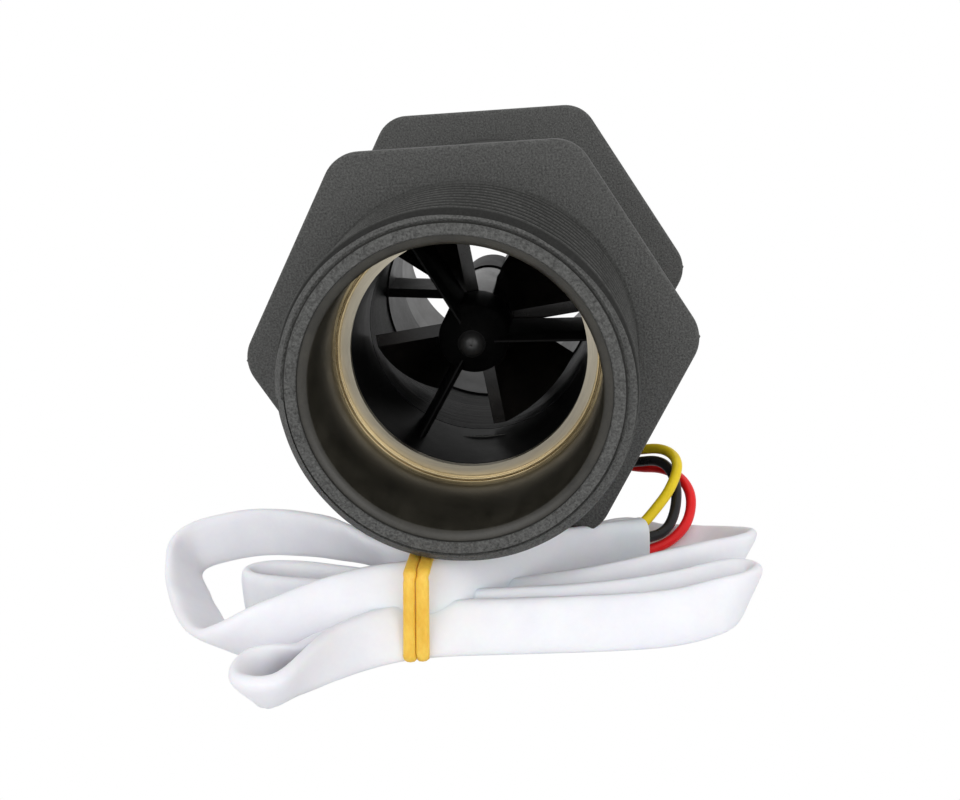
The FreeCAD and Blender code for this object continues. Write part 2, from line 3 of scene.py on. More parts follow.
import bpy
import numpy as np
from mathutils import Matrix, Vector


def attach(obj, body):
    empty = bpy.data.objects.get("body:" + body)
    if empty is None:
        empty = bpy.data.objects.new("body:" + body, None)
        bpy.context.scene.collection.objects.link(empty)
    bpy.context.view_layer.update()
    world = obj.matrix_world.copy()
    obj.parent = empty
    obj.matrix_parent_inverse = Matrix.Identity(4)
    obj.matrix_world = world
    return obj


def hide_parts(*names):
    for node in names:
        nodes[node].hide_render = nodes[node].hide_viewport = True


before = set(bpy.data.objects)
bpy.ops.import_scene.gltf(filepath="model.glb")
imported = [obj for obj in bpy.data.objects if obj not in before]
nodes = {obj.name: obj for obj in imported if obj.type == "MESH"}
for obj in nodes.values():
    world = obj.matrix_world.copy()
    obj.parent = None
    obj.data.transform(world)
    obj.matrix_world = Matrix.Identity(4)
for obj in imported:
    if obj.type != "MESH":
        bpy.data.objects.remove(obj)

# Metres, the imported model's own frame: the pipe axis is Y, the inlet faces -Y, Z is up
scene = bpy.context.scene
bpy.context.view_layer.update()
mm = 0.001  # the pieces' dictionaries give sizes and places in millimetres


def metres(points):
    return [Vector(point[:3]) * mm for point in points]


# Camera: place in millimetres, angles in radians
cameraView = {"place": (22.783, -202.014, 51.215), "turn": 0.10776, "tilt": -0.28164, "roll": -0.07863,
              "lens": 54.9, "sensor": 36.0, "clip": (0.005, 20)}


def placeCamera(view):
    turn, tilt, roll = view["turn"], view["tilt"], view["roll"]
    forward = Vector((-math.sin(turn) * math.cos(tilt), math.cos(turn) * math.cos(tilt), math.sin(tilt)))
    level = Vector((math.cos(turn), math.sin(turn), 0))
    upright = level.cross(forward)
    right = level * math.cos(roll) + upright * math.sin(roll)
    above = upright * math.cos(roll) - level * math.sin(roll)
    data = bpy.data.cameras.new("camera")
    data.lens = view["lens"]
    data.sensor_width = view["sensor"]
    data.clip_start, data.clip_end = view["clip"]
    camera = bpy.data.objects.new("camera", data)
    scene.collection.objects.link(camera)
    turned = Matrix((right, above, -forward)).transposed().to_4x4()
    camera.matrix_world = Matrix.Translation(Vector(view["place"]) * mm) @ turned
    scene.camera = camera


placeCamera(cameraView)


# Materials: every surface is grain and slow variation worked out from the place on the object; the thread
# also has painted shade in its troughs
noiseSpan = (0.3, 0.7)  # most of a noise texture's values lie between these
colourStops = (0.32, 0.68)  # below the first a surface is dark, above the second it is light


def startMaterial(name):
    material = bpy.data.materials.new(name)
    material.use_nodes = True
    tree = material.node_tree
    return material, tree.nodes, tree.links, tree.nodes["Principled BSDF"]


def place(tree, links, stretch=(1, 1, 1)):
    spot = tree.new("ShaderNodeTexCoord")
    scaled = tree.new("ShaderNodeMapping")
    scaled.inputs["Scale"].default_value = stretch
    links.new(spot.outputs["Object"], scaled.inputs["Vector"])
    return scaled.outputs["Vector"]


def placeTurned(tree, links, stretch):
    # Distance from the pipe axis and place along it, so that detail runs round the pipe
    apart = tree.new("ShaderNodeSeparateXYZ")
    links.new(place(tree, links), apart.inputs["Vector"])
    across = tree.new("ShaderNodeCombineXYZ")
    links.new(apart.outputs["X"], across.inputs["X"])
    links.new(apart.outputs["Z"], across.inputs["Z"])
    reach = tree.new("ShaderNodeVectorMath")
    reach.operation = "LENGTH"
    links.new(across.outputs["Vector"], reach.inputs[0])
    slow = tree.new("ShaderNodeVectorMath")
    slow.operation = "MULTIPLY"
    slow.inputs[1].default_value = (stretch, 0, stretch)
    links.new(across.outputs["Vector"], slow.inputs[0])
    turned = tree.new("ShaderNodeCombineXYZ")
    links.new(reach.outputs["Value"], turned.inputs["X"])
    links.new(apart.outputs["Y"], turned.inputs["Y"])
    both = tree.new("ShaderNodeVectorMath")
    both.operation = "ADD"
    links.new(turned.outputs["Vector"], both.inputs[0])
    links.new(slow.outputs["Vector"], both.inputs[1])
    return both.outputs["Vector"]


def noise(tree, links, where, scale, detail, rough):
    node = tree.new("ShaderNodeTexNoise")
    node.inputs["Scale"].default_value = scale
    node.inputs["Detail"].default_value = detail
    node.inputs["Roughness"].default_value = rough
    links.new(where, node.inputs["Vector"])
    return node.outputs["Fac"]


def ramp(tree, links, source, dark, light):
    node = tree.new("ShaderNodeValToRGB")
    for element, stop, colour in zip(node.color_ramp.elements, colourStops, (dark, light)):
        element.position = stop
        element.color = (*colour, 1)
    links.new(source, node.inputs["Fac"])
    return node.outputs["Color"]


def spread(tree, links, source, low, high):
    node = tree.new("ShaderNodeMapRange")
    node.inputs["From Min"].default_value = noiseSpan[0]
    node.inputs["From Max"].default_value = noiseSpan[1]
    node.inputs["To Min"].default_value = low
    node.inputs["To Max"].default_value = high
    links.new(source, node.inputs["Value"])
    return node.outputs["Result"]


def addRelief(tree, links, source, strength, depth, below=None):
    node = tree.new("ShaderNodeBump")
    node.inputs["Strength"].default_value = strength
    node.inputs["Distance"].default_value = depth * mm
    links.new(source, node.inputs["Height"])
    if below:
        links.new(below, node.inputs["Normal"])
    return node.outputs["Normal"]


def paintTroughShade(tree, links, colour, deep, full, dark):
    # Painted shade: the colour goes over to a dark one where the surface lies nearer the pipe axis, standing
    # in for shade in the thread's troughs
    apart = tree.new("ShaderNodeVectorMath")
    apart.operation = "LENGTH"
    links.new(place(tree, links, (1, 0, 1)), apart.inputs[0])
    share = tree.new("ShaderNodeMapRange")
    share.inputs["From Min"].default_value = deep * mm
    share.inputs["From Max"].default_value = full * mm
    links.new(apart.outputs["Value"], share.inputs["Value"])
    both = tree.new("ShaderNodeMix")
    both.data_type = "RGBA"
    both.inputs["A"].default_value = (*dark, 1)
    links.new(share.outputs["Result"], both.inputs["Factor"])
    links.new(colour, both.inputs["B"])
    return both.outputs["Result"]


def makeSurface(name, look):
    material, tree, links, shader = startMaterial(name)
    if "turned" in look:
        where = placeTurned(tree, links, look["turned"])
    else:
        where = place(tree, links, look.get("stretch", (1, 1, 1)))
    slow = noise(tree, links, where, look["patch"], detail=3.0, rough=0.55)
    fine = noise(tree, links, where, look["grain"], detail=5.0, rough=0.65)
    both = tree.new("ShaderNodeMix")
    both.inputs["Factor"].default_value = look["speckle"]
    links.new(slow, both.inputs["A"])
    links.new(fine, both.inputs["B"])
    mixed = both.outputs["Result"]
    colour = ramp(tree, links, mixed, look["dark"], look["light"])
    # painted shade in the troughs, where a look asks for it
    if "troughShade" in look:
        colour = paintTroughShade(tree, links, colour, *look["troughShade"])
    links.new(colour, shader.inputs["Base Color"])
    links.new(spread(tree, links, mixed, *look["rough"]), shader.inputs["Roughness"])
    normal = addRelief(tree, links, fine, look["bump"], look["depth"])
    if "ripple" in look:
        normal = addRelief(tree, links, slow, *look["ripple"], below=normal)
    links.new(normal, shader.inputs["Normal"])
    for socket, value in look.get("sockets", {}).items():
        shader.inputs[socket].default_value = value
    return material


# patch and grain set how fine the slow and the fine noise are, speckle is the fine one's share of the colour,
# depth is the grain's relief in millimetres, and ripple is the strength and depth of the slow noise's relief
surfaceLooks = {
    "charcoalNylon": {
        "dark": (0.012, 0.012, 0.011), "light": (0.112, 0.113, 0.109), "patch": 700, "grain": 3400,
        "speckle": 0.9, "rough": (0.42, 0.66), "bump": 0.8, "depth": 0.12,
        "sockets": {"Specular IOR Level": 0.4}},
    "threadNylon": {
        "dark": (0.010, 0.010, 0.009), "light": (0.080, 0.081, 0.077), "patch": 700, "grain": 3400,
        "speckle": 0.9, "rough": (0.46, 0.70), "bump": 0.6, "depth": 0.10,
        # painted shade: below these radii the troughs between the ridges go dark
        "troughShade": (23.60, 23.86, (0.004, 0.004, 0.003)), "sockets": {"Specular IOR Level": 0.35}},
    # painted shade: a near-black colour for the faces of the two grooves in the inlet's face
    "grooveNylon": {
        "dark": (0.004, 0.004, 0.003), "light": (0.022, 0.022, 0.019), "patch": 900, "grain": 3000,
        "speckle": 0.8, "rough": (0.55, 0.75), "bump": 0.6, "depth": 0.08},
    "boreNylon": {
        "dark": (0.012, 0.011, 0.008), "light": (0.036, 0.033, 0.025), "patch": 260, "grain": 2600,
        "stretch": (1, 0.5, 1), "speckle": 0.35, "rough": (0.30, 0.44), "bump": 0.25, "depth": 0.04},
    "glossBlack": {
        "dark": (0.002, 0.002, 0.002), "light": (0.008, 0.008, 0.008), "patch": 240, "grain": 2400,
        "speckle": 0.4, "rough": (0.34, 0.46), "bump": 0.12, "depth": 0.02,
        "ripple": (0.10, 0.20), "sockets": {"Specular IOR Level": 0.08}},
    "noseBlack": {
        "dark": (0.008, 0.008, 0.008), "light": (0.024, 0.024, 0.024), "patch": 300, "grain": 3000,
        "speckle": 0.5, "rough": (0.30, 0.40), "bump": 0.15, "depth": 0.02},
    "satinBlack": {
        "dark": (0.006, 0.006, 0.005), "light": (0.020, 0.019, 0.017), "patch": 300, "grain": 2600,
        "speckle": 0.5, "rough": (0.32, 0.46), "bump": 0.25, "depth": 0.04,
        "sockets": {"Specular IOR Level": 0.12}},
    "linedBlack": {
        "dark": (0.003, 0.003, 0.003), "light": (0.011, 0.011, 0.011), "patch": 500, "grain": 2300,
        "turned": 0.02, "speckle": 0.7, "rough": (0.40, 0.58), "bump": 0.9, "depth": 0.12,
        "sockets": {"Specular IOR Level": 0.1}},
    "tanSteel": {
        "dark": (0.54, 0.49, 0.39), "light": (0.78, 0.72, 0.58), "patch": 260, "grain": 3200,
        "turned": 0.08, "speckle": 0.45, "rough": (0.34, 0.48), "bump": 0.25, "depth": 0.02,
        "sockets": {"Metallic": 1.0}},
    "goldSteel": {
        "dark": (0.26, 0.19, 0.09), "light": (0.74, 0.61, 0.37), "patch": 240, "grain": 3000,
        "turned": 0.10, "speckle": 0.35, "rough": (0.20, 0.34), "bump": 0.20, "depth": 0.02,
        "sockets": {"Metallic": 1.0}},
    "rotorBlack": {
        "dark": (0.005, 0.005, 0.005), "light": (0.018, 0.016, 0.014), "patch": 300, "grain": 3000,
        "speckle": 0.4, "rough": (0.14, 0.26), "bump": 0.12, "depth": 0.02, "ripple": (0.10, 0.15)},
    "bushPlastic": {
        "dark": (0.30, 0.28, 0.24), "light": (0.44, 0.42, 0.36), "patch": 500, "grain": 4000,
        "speckle": 0.5, "rough": (0.30, 0.42), "bump": 0.15, "depth": 0.02},
    "ceramic": {
        "dark": (0.70, 0.68, 0.62), "light": (0.82, 0.80, 0.75), "patch": 800, "grain": 5000,
        "speckle": 0.5, "rough": (0.22, 0.34), "bump": 0.10, "depth": 0.01},
    "steel": {
        "dark": (0.42, 0.42, 0.43), "light": (0.62, 0.62, 0.62), "patch": 700, "grain": 5000,
        "stretch": (1, 0.1, 1), "speckle": 0.6, "rough": (0.18, 0.34), "bump": 0.12, "depth": 0.01,
        "sockets": {"Metallic": 1.0}},
    "magnetNickel": {
        "dark": (0.45, 0.43, 0.40), "light": (0.60, 0.57, 0.53), "patch": 600, "grain": 5000,
        "speckle": 0.4, "rough": (0.14, 0.26), "bump": 0.10, "depth": 0.01,
        "sockets": {"Metallic": 1.0}},
    "gasketRubber": {
        "dark": (0.012, 0.012, 0.013), "light": (0.030, 0.030, 0.032), "patch": 600, "grain": 3500,
        "speckle": 0.6, "rough": (0.62, 0.82), "bump": 0.30, "depth": 0.04},
    "boardGreen": {
        "dark": (0.006, 0.075, 0.028), "light": (0.014, 0.125, 0.050), "patch": 350, "grain": 3000,
        "speckle": 0.4, "rough": (0.28, 0.42), "bump": 0.12, "depth": 0.02},
    "chipBlack": {
        "dark": (0.010, 0.010, 0.011), "light": (0.024, 0.024, 0.026), "patch": 900, "grain": 7000,
        "speckle": 0.7, "rough": (0.42, 0.60), "bump": 0.30, "depth": 0.01},
    "amberRubber": {
        "dark": (0.80, 0.46, 0.045), "light": (0.96, 0.66, 0.11), "patch": 420, "grain": 2600,
        "stretch": (1, 1, 0.35), "speckle": 0.4, "rough": (0.34, 0.50), "bump": 0.18, "depth": 0.04,
        "ripple": (0.20, 0.20),
        "sockets": {"Subsurface Weight": 0.25, "Subsurface Scale": 0.002, "Specular IOR Level": 0.4}},
    "wireYellow": {
        "dark": (0.82, 0.58, 0.008), "light": (0.94, 0.72, 0.016), "patch": 300, "grain": 2600,
        "speckle": 0.3, "rough": (0.26, 0.38), "bump": 0.12, "depth": 0.03, "ripple": (0.12, 0.10),
        "sockets": {"Specular IOR Level": 0.3}},
    "wireBlack": {
        "dark": (0.008, 0.008, 0.009), "light": (0.022, 0.021, 0.022), "patch": 300, "grain": 2600,
        "speckle": 0.3, "rough": (0.24, 0.36), "bump": 0.12, "depth": 0.03, "ripple": (0.12, 0.10),
        "sockets": {"Specular IOR Level": 0.3}},
    "wireRed": {
        "dark": (0.84, 0.008, 0.010), "light": (0.96, 0.020, 0.022), "patch": 300, "grain": 2600,
        "speckle": 0.3, "rough": (0.26, 0.38), "bump": 0.12, "depth": 0.03, "ripple": (0.12, 0.10),
        "sockets": {"Specular IOR Level": 0.3}},
    "whiteSleeve": {
        "dark": (0.81, 0.815, 0.87), "light": (0.875, 0.88, 0.91), "patch": 160, "grain": 1800,
        "speckle": 0.25, "rough": (0.34, 0.50), "bump": 0.10, "depth": 0.04, "ripple": (0.22, 0.25),
        "sockets": {"Subsurface Weight": 0.20, "Subsurface Scale": 0.002}},
}
surfaces = {name: makeSurface(name, look) for name, look in surfaceLooks.items()}
print("materials ready")


# Mesh helpers
def makeObject(name, corners, faces, material, sharp=35):
    data = bpy.data.meshes.new(name)
    data.from_pydata([tuple(corner) for corner in corners], [], faces)
    data.validate()
    data.shade_smooth()
    data.set_sharp_from_angle(angle=math.radians(sharp))
    data.materials.append(surfaces[material])
    piece = bpy.data.objects.new(name, data)
    scene.collection.objects.link(piece)
    return piece


def bridge(rings, closed=True, capped=False):
    # Faces between rings of equally many corners; closed joins the last ring to the first
    count = len(rings[0])
    corners = [corner for ring in rings for corner in ring]
    faces = []
    pairs = [(k, k + 1) for k in range(len(rings) - 1)] + ([(len(rings) - 1, 0)] if closed else [])
    for low, high in pairs:
        for k in range(count):
            step = (k + 1) % count
            faces.append((low * count + k, high * count + k, high * count + step, low * count + step))
    if capped:
        faces.append(tuple(reversed(range(count))))
        faces.append(tuple((len(rings) - 1) * count + k for k in range(count)))
    return corners, faces


def joinShells(shells):
    corners, faces = [], []
    for more, sides in shells:
        count = len(corners)
        corners += more
        faces += [tuple(index + count for index in face) for face in sides]
    return corners, faces


def arc(start, end, steps):
    # Angles from start to end in even steps, from degrees to radians
    return [math.radians(start + (end - start) * k / steps) for k in range(steps + 1)]


def fullTurn(count):
    return [2 * math.pi * k / count for k in range(count)]


def ringOf(radii, along, turn):
    # Corners round the pipe axis, one at each angle of the turn
    return [Vector((r * math.cos(a), along, r * math.sin(a))) * mm for r, a in zip(radii, turn)]


def lathe(outline, turn):
    # A round ring for each radius and place along the axis
    return [ringOf([radius] * len(turn), along, turn) for radius, along in outline]


def squarer(value, power):
    # A sine or cosine pushed outwards, which makes a circle squarer
    return math.copysign(abs(value) ** power, value)


def finishPiece(piece, body, slot, *replaced):
    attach(piece, body)
    if replaced:
        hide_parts(*replaced)


# Wires: each control point is one that the wire passes near, grommet first
wires = {
    "radius": 0.8,
    "routes": {
        "wireYellow": ("wire_yellow", [
            (15.8, 28.6, -26.2), (18.2, 28.5, -25.9), (22.6, 26.1, -25.0),
            (27.4, 20.7, -22.9), (29.7, 15.1, -23.5), (28.0, 11.1, -26.5),
            (25.3, 8.1, -28.8), (23.3, 5.9, -30.2), (21.6, 4.7, -30.8)]),
        "wireBlack": ("wire_black", [
            (15.8, 27.8, -27.6), (18.2, 27.5, -27.6), (22.3, 25.1, -26.7),
            (27.2, 19.8, -24.6), (29.1, 14.9, -26.6), (28.6, 10.5, -30.1),
            (26.8, 7.7, -32.3), (23.3, 5.9, -32.4), (21.6, 4.9, -32.5)]),
        "wireRed": ("wire_red", [
            (15.8, 29.3, -27.6), (18.2, 29.5, -27.6), (22.8, 27.3, -28.4),
            (27.8, 22.1, -26.8), (31.3, 16.3, -28.2), (30.9, 11.9, -31.8),
            (27.8, 8.3, -34.0), (23.3, 5.9, -34.6), (21.6, 4.9, -34.4)])}}


def makeSpline(name, points):
    data = bpy.data.curves.new(name, "CURVE")
    data.dimensions = "3D"
    data.resolution_u = 10
    spline = data.splines.new("NURBS")
    spline.points.add(len(points) - 1)
    for spot, point in zip(spline.points, points):
        spot.co = (*point, 1)
    spline.order_u = 3
    spline.use_endpoint_u = True
    return data


def readSpline(name, points):
    # The points that the route's own spline passes through
    route = bpy.data.objects.new(name, makeSpline(name, points))
    scene.collection.objects.link(route)
    line = bpy.data.meshes.new_from_object(route)
    spots = [vertex.co.copy() for vertex in line.vertices]
    bpy.data.objects.remove(route)
    bpy.data.meshes.remove(line)
    return spots


def pathLength(spots):
    return sum((b - a).length for a, b in zip(spots, spots[1:]))


def makeWire(name, node, points, radius):
    spots = metres(points)
    length = pathLength(readSpline(name + "Line", spots))
    data = makeSpline(name, spots)
    data.bevel_depth = radius * mm
    data.bevel_resolution = 6
    data.use_fill_caps = True
    data.materials.append(surfaces[name])
    piece = bpy.data.objects.new(name, data)
    scene.collection.objects.link(piece)
    finishPiece(piece, "meter", node, node)


for wire, (node, points) in wires["routes"].items():
    makeWire(wire, node, points, wires["radius"])


# Flat sleeve: centre line with the lean of its upper edge, to the right of its way along, in degrees
sleeve = {
    "width": 7.6, "thick": 2.2, "corners": 28, "squareness": (0.55, 0.75),
    "mouthWidth": 6.8, "mouthThick": 4.2, "openFor": 7.0, "wall": 0.45, "lip": 0.12, "hollow": (0.5, 6.5),
    "waves": ((0.25, 0.32, 0), (0.15, 0.75, 1)),  # height, pace and start of each wave in its thickness
    "route": [
        (23.3, 5.9, -32.5, 0), (19.0, 3.4, -32.3, 0), (13.2, -1.6, -31.2, 4), (8.0, -6.2, -29.7, 10),
        (3.0, -12.0, -28.4, 18), (-1.0, -17.2, -27.7, 24), (-6.0, -20.3, -27.8, 25),
        # first pass on the left, round the large loop and back
        (-13.0, -20.0, -28.2, 25), (-20.0, -21.8, -29.3, 20), (-28.0, -24.2, -31.4, 2),
        (-35.2, -23.2, -34.0, -52), (-40.0, -14.2, -34.6, -62), (-45.2, -3.4, -33.8, -52),
        (-48.0, 5.4, -30.9, -16), (-38.4, 7.2, -29.3, -4), (-31.0, 5.2, -28.7, 4), (-22.0, 0.6, -28.3, 16),
        (-14.0, -7.0, -28.0, 34), (-8.0, -13.6, -28.2, 16), (-3.0, -14.2, -28.9, -10),
        # behind the mouth to the far right, where it lies flat, then folded back along the front
        (3.0, -9.0, -30.4, -10), (9.0, -3.0, -32.4, -5), (15.5, 3.8, -33.1, -5), (21.0, 8.6, -33.6, -30),
        (26.6, 10.8, -35.2, -64), (32.0, 10.8, -35.6, -68), (36.2, 8.0, -35.0, -60),
        (37.9, 3.6, -33.8, -40), (37.2, -0.6, -33.2, -18), (33.2, -3.8, -33.0, 2), (27.0, -7.0, -33.0, 10),
        (18.0, -11.6, -33.1, 16), (8.0, -13.8, -33.4, 34), (0.0, -14.8, -33.7, 45),
        (-6.0, -14.8, -33.6, 30),
        # smaller turn inside the first one
        (-13.0, -12.0, -32.8, 10), (-21.0, -8.0, -32.8, 0), (-28.0, -5.8, -32.8, 0),
        (-32.8, -5.6, -32.8, 0), (-34.8, -8.0, -32.8, 0), (-32.2, -10.6, -32.8, 0),
        (-26.0, -12.4, -32.8, 0), (-20.0, -13.8, -32.8, 0), (-12.0, -17.2, -32.6, -5),
        (-6.0, -18.0, -33.1, -8),
        # along the floor to the right end, then the front row
        (3.0, -18.2, -33.1, -10), (12.0, -18.0, -33.1, -14), (22.0, -16.8, -33.1, -20),
        (30.0, -13.8, -33.1, -24), (35.0, -10.4, -33.3, -30), (37.8, -10.4, -33.5, -32),
        (36.6, -14.4, -33.4, -12), (32.8, -17.8, -33.2, 14), (27.0, -20.8, -33.3, 22),
        (18.0, -21.5, -33.3, 25), (6.0, -21.5, -33.3, 25), (-6.0, -21.4, -33.3, 25),
        # front fold on the left, opening upwards; the end lies hidden in the hank
        (-12.5, -23.6, -33.2, 14), (-17.6, -28.0, -33.1, 0), (-21.6, -33.6, -33.4, -24),
        (-24.2, -37.8, -33.9, -42), (-27.6, -37.0, -33.9, -40), (-28.2, -32.2, -34.1, -8),
        (-24.4, -27.8, -34.1, 44), (-16.0, -22.6, -33.6, 32), (-10.0, -19.0, -33.1, 8),
        (-6.0, -16.4, -33.1, 0), (1.0, -16.2, -33.1, 0)]}


def greville(count):
    # Where each control point pulls hardest along a quadratic spline
    return [0.0] + [k - 0.5 for k in range(1, count - 1)] + [count - 2.0]


def makeSleeve(look):
    centres = readSpline("sleeveLine", metres(look["route"]))
    places = greville(len(look["route"]))
    leans = [point[3] for point in look["route"]]
    lean = np.interp(np.linspace(0, places[-1], len(centres)), places, leans)
    run = [0.0]
    for a, b in zip(centres, centres[1:]):
        run.append(run[-1] + (b - a).length)
    turn = fullTurn(look["corners"])
    tallPower, thickPower = look["squareness"]

    def section(index, wide, thick, shift=0.0):
        # Squarish ring round the centre line, its upper edge leaning to the right of the way along
        ahead = centres[min(index + 1, len(centres) - 1)]
        behind = centres[max(index - 1, 0)]
        along = (ahead - behind).normalized()
        right = along.cross(Vector((0, 0, 1))).normalized()
        slope = math.radians(lean[index])
        tall = Vector((0, 0, 1)) * math.cos(slope) + right * math.sin(slope)
        tall = (tall - along * tall.dot(along)).normalized()
        across = along.cross(tall)
        ring = []
        for angle in turn:
            high = squarer(math.cos(angle), tallPower) * wide / 2
            out = squarer(math.sin(angle), thickPower) * thick / 2
            ring.append(centres[index] + (tall * high + across * out) * mm + along * shift * mm)
        return ring

    def sizeAt(index):
        # Width and thickness, from the open mouth to the flat sleeve
        opened = max(0.0, 1 - run[index] / (look["openFor"] * mm))
        opened = opened * opened * (3 - 2 * opened)
        wave = sum(height * math.sin(run[index] / mm * pace + start) for height, pace, start in look["waves"])
        wide = look["width"] + (look["mouthWidth"] - look["width"]) * opened
        thick = look["thick"] + wave * (1 - opened) + (look["mouthThick"] - look["thick"]) * opened
        return wide, thick

    # The mouth's inside from its bottom outwards, the lip, then the outside
    wall = look["wall"]
    nearest, deepest = (reach * mm for reach in look["hollow"])
    hollow = [k for k in range(len(centres)) if nearest < run[k] < deepest]
    rings = []
    for index in [*reversed(hollow), 0]:
        wide, thick = sizeAt(index)
        rings.append(section(index, wide - 2 * wall, thick - 2 * wall))
    rings.append(section(0, wide - wall, thick - wall, -look["lip"]))
    rings += [section(index, *sizeAt(index)) for index in range(len(centres))]
    corners, faces = bridge(rings, closed=False, capped=True)
    piece = makeObject("whiteSleeve", corners, faces, "whiteSleeve", 60)
    finishPiece(piece, "meter", "white_pvc", "sleeve_lead", "cable_hank")
    print("sleeve length %.3f m" % run[-1])


makeSleeve(sleeve)


# Rubber band: two strands side by side round the hank's waist
band = {"strands": (-8.1, -6.35), "wide": 1.75, "thick": 1.2, "corners": 12, "squareness": 0.8, "inset": 0.05,
        "near": -25.3, "far": -12.0, "low": -37.0, "high": -23.3, "corner": 1.7,
        "tilt": 0.083, "wobble": 0.08, "wobblePace": 0.7}


def bandLoop(look, offset, side):
    # Rounded loop in the plane across the hank
    radius = look["corner"]
    reach = radius + offset
    far, near = look["far"] - radius, look["near"] + radius
    high, low = look["high"] - radius, look["low"] + radius
    loop = []
    for across, up, start in ((far, high, 0), (near, high, 90), (near, low, 180), (far, low, 270)):
        for angle in arc(start, start + 90, 8):
            loop.append((across + math.cos(angle) * reach, up + math.sin(angle) * reach))
    middle = (look["low"] + look["high"]) / 2
    strand = []
    for k, (y, z) in enumerate(loop):
        x = side + look["tilt"] * (z - middle) + look["wobble"] * math.sin(look["wobblePace"] * k + side)
        strand.append(Vector((x, y, z)) * mm)
    return strand


def makeBand(look):
    shells = []
    for strand, side in enumerate(look["strands"]):
        rings = []
        for angle in fullTurn(look["corners"]):
            wide = squarer(math.cos(angle), look["squareness"]) * look["wide"] / 2
            deep = squarer(math.sin(angle), look["squareness"]) * look["thick"] / 2
            rings.append(bandLoop(look, deep - look["thick"] / 2 - look["inset"] * strand, side + wide))
        shells.append(bridge(rings))
    piece = makeObject("rubberBand", *joinShells(shells), "amberRubber", 60)
    finishPiece(piece, "meter", "amber_rubber", "rubber_band")


makeBand(band)
print("cords and band ready")


# Moulded body, lathed: threads, barrel, bore and the ring's groove
bodyShape = {
    "thread": 23.9, "pitch": 2.309, "threadDepth": 1.45, "crest": 1.25, "fade": 0.9,
    "lead": 1.3, "start": 0.35, "startFade": 2.2,
    "inlet": -22.5, "outlet": 81.5, "shoulders": (0.0, 59.0), "barrel": 24.2,
    "bore": 19.2, "mouth": 20.6, "mouthDeep": 1.0, "mouthDraw": 0.1, "mouthSoft": 0.15, "rimSoft": 0.2,
    "groove": 20.0, "grooveFrom": -3.35, "grooveTo": -2.1,
    "land": 17.4, "landFrom": 52.55, "landTo": 60.55, "landSoft": 0.2,
    # two grooves in the inlet's face, painted dark as shade: steps out from the rim's or the mouth's radius,
    # and in from the face
    "rimLine": ((-0.5, 0.0), (-0.44, 0.35), (-0.3, 0.35)),
    "mouthLine": ((-0.35, 0.45), (-0.1, 0.45), (-0.05, 0.12), (0.08, 0.0)),
    # where the finishes lie: the lines' spans and depth, and how far the thread's keeps from each end
    "finishes": ("charcoalNylon", "boreNylon", "grooveNylon", "threadNylon"),
    "rimSpan": (-0.49, -0.31), "mouthSpan": (-0.36, -0.04), "lineDeep": 0.42, "threadFrom": (1.3, 2.0),
    # places of the rings along it: first and last gap, step over the threads, and those on the barrel
    "gaps": (0.05, 0.1), "step": 0.165, "barrelRings": (4.0, 20.0, 40.0, 55.0), "turns": 288}


def threadRadius(look, angle, along):
    if look["shoulders"][0] <= along <= look["shoulders"][1]:
        return look["barrel"]
    fromShoulder = min(abs(along - shoulder) for shoulder in look["shoulders"])
    fromEnd = min(along - look["inlet"], look["outlet"] - along)
    phase = along / look["pitch"] - angle / (2 * math.pi)
    groove = min(1.0, look["crest"] * (0.5 - 0.5 * math.cos(2 * math.pi * phase)))
    full = min(1.0, fromShoulder / look["fade"])
    radius = look["thread"] - look["threadDepth"] * groove * full
    # the inlet's lead is deeper where the thread starts
    begun = (angle - math.pi) % (2 * math.pi) / (2 * math.pi)
    start = look["start"] * max(0.0, 1 - look["startFade"] * begun) if along < 0 else 0
    return min(radius, look["thread"] - look["lead"] - start + min(fromEnd, look["lead"] + start))


def outsidePlaces(look):
    first, last = look["shoulders"]
    inletThread = np.arange(look["inlet"] + look["gaps"][0], first, look["step"])
    outletThread = np.arange(last + look["step"], look["outlet"] - look["gaps"][1], look["step"])
    return [*inletThread, first, *look["barrelRings"], last, *outletThread]


def insideOutline(look):
    # Outlet face, bore with its land, the ring's groove and the inlet's mouth: radius and place along
    rim, mouth, bore, land = look["thread"] - look["lead"], look["mouth"], look["bore"], look["land"]
    outlet, inletBore, soft = look["outlet"], look["inlet"] + look["mouthDeep"], look["mouthSoft"]
    outline = [
        (rim - look["rimSoft"], outlet), (mouth + soft, outlet), (mouth - look["mouthDraw"], outlet - soft),
        (bore, outlet - look["mouthDeep"]), (bore, look["landTo"]), (land + look["landSoft"], look["landTo"]),
        (land, look["landTo"] - look["landSoft"]), (land, look["landFrom"]), (bore, look["landFrom"]),
        (bore, look["grooveTo"]), (look["groove"], look["grooveTo"]), (look["groove"], look["grooveFrom"]),
        (bore, look["grooveFrom"]), (bore, inletBore + 2 * soft), (bore + soft, inletBore)]
    return outline + [(mouth + out, look["inlet"] + deep) for out, deep in look["mouthLine"]]


def bodyFinish(look, reach, along):
    # A face's finish, from its distance to the pipe axis and its place along it
    fromRim, fromMouth = reach - look["thread"] + look["lead"], reach - look["mouth"]
    if fromMouth < -look["mouthDraw"]:
        return "boreNylon"
    onLine = (look["rimSpan"][0] < fromRim < look["rimSpan"][1]
              or look["mouthSpan"][0] < fromMouth < look["mouthSpan"][1])
    # the grooves' faces get the painted shade
    if along < look["inlet"] + look["lineDeep"] and onLine:
        return "grooveNylon"
    onBarrel = look["shoulders"][0] < along < look["shoulders"][1]
    start, end = look["inlet"] + look["threadFrom"][0], look["outlet"] - look["threadFrom"][1]
    return "threadNylon" if start < along < end and not onBarrel else "charcoalNylon"


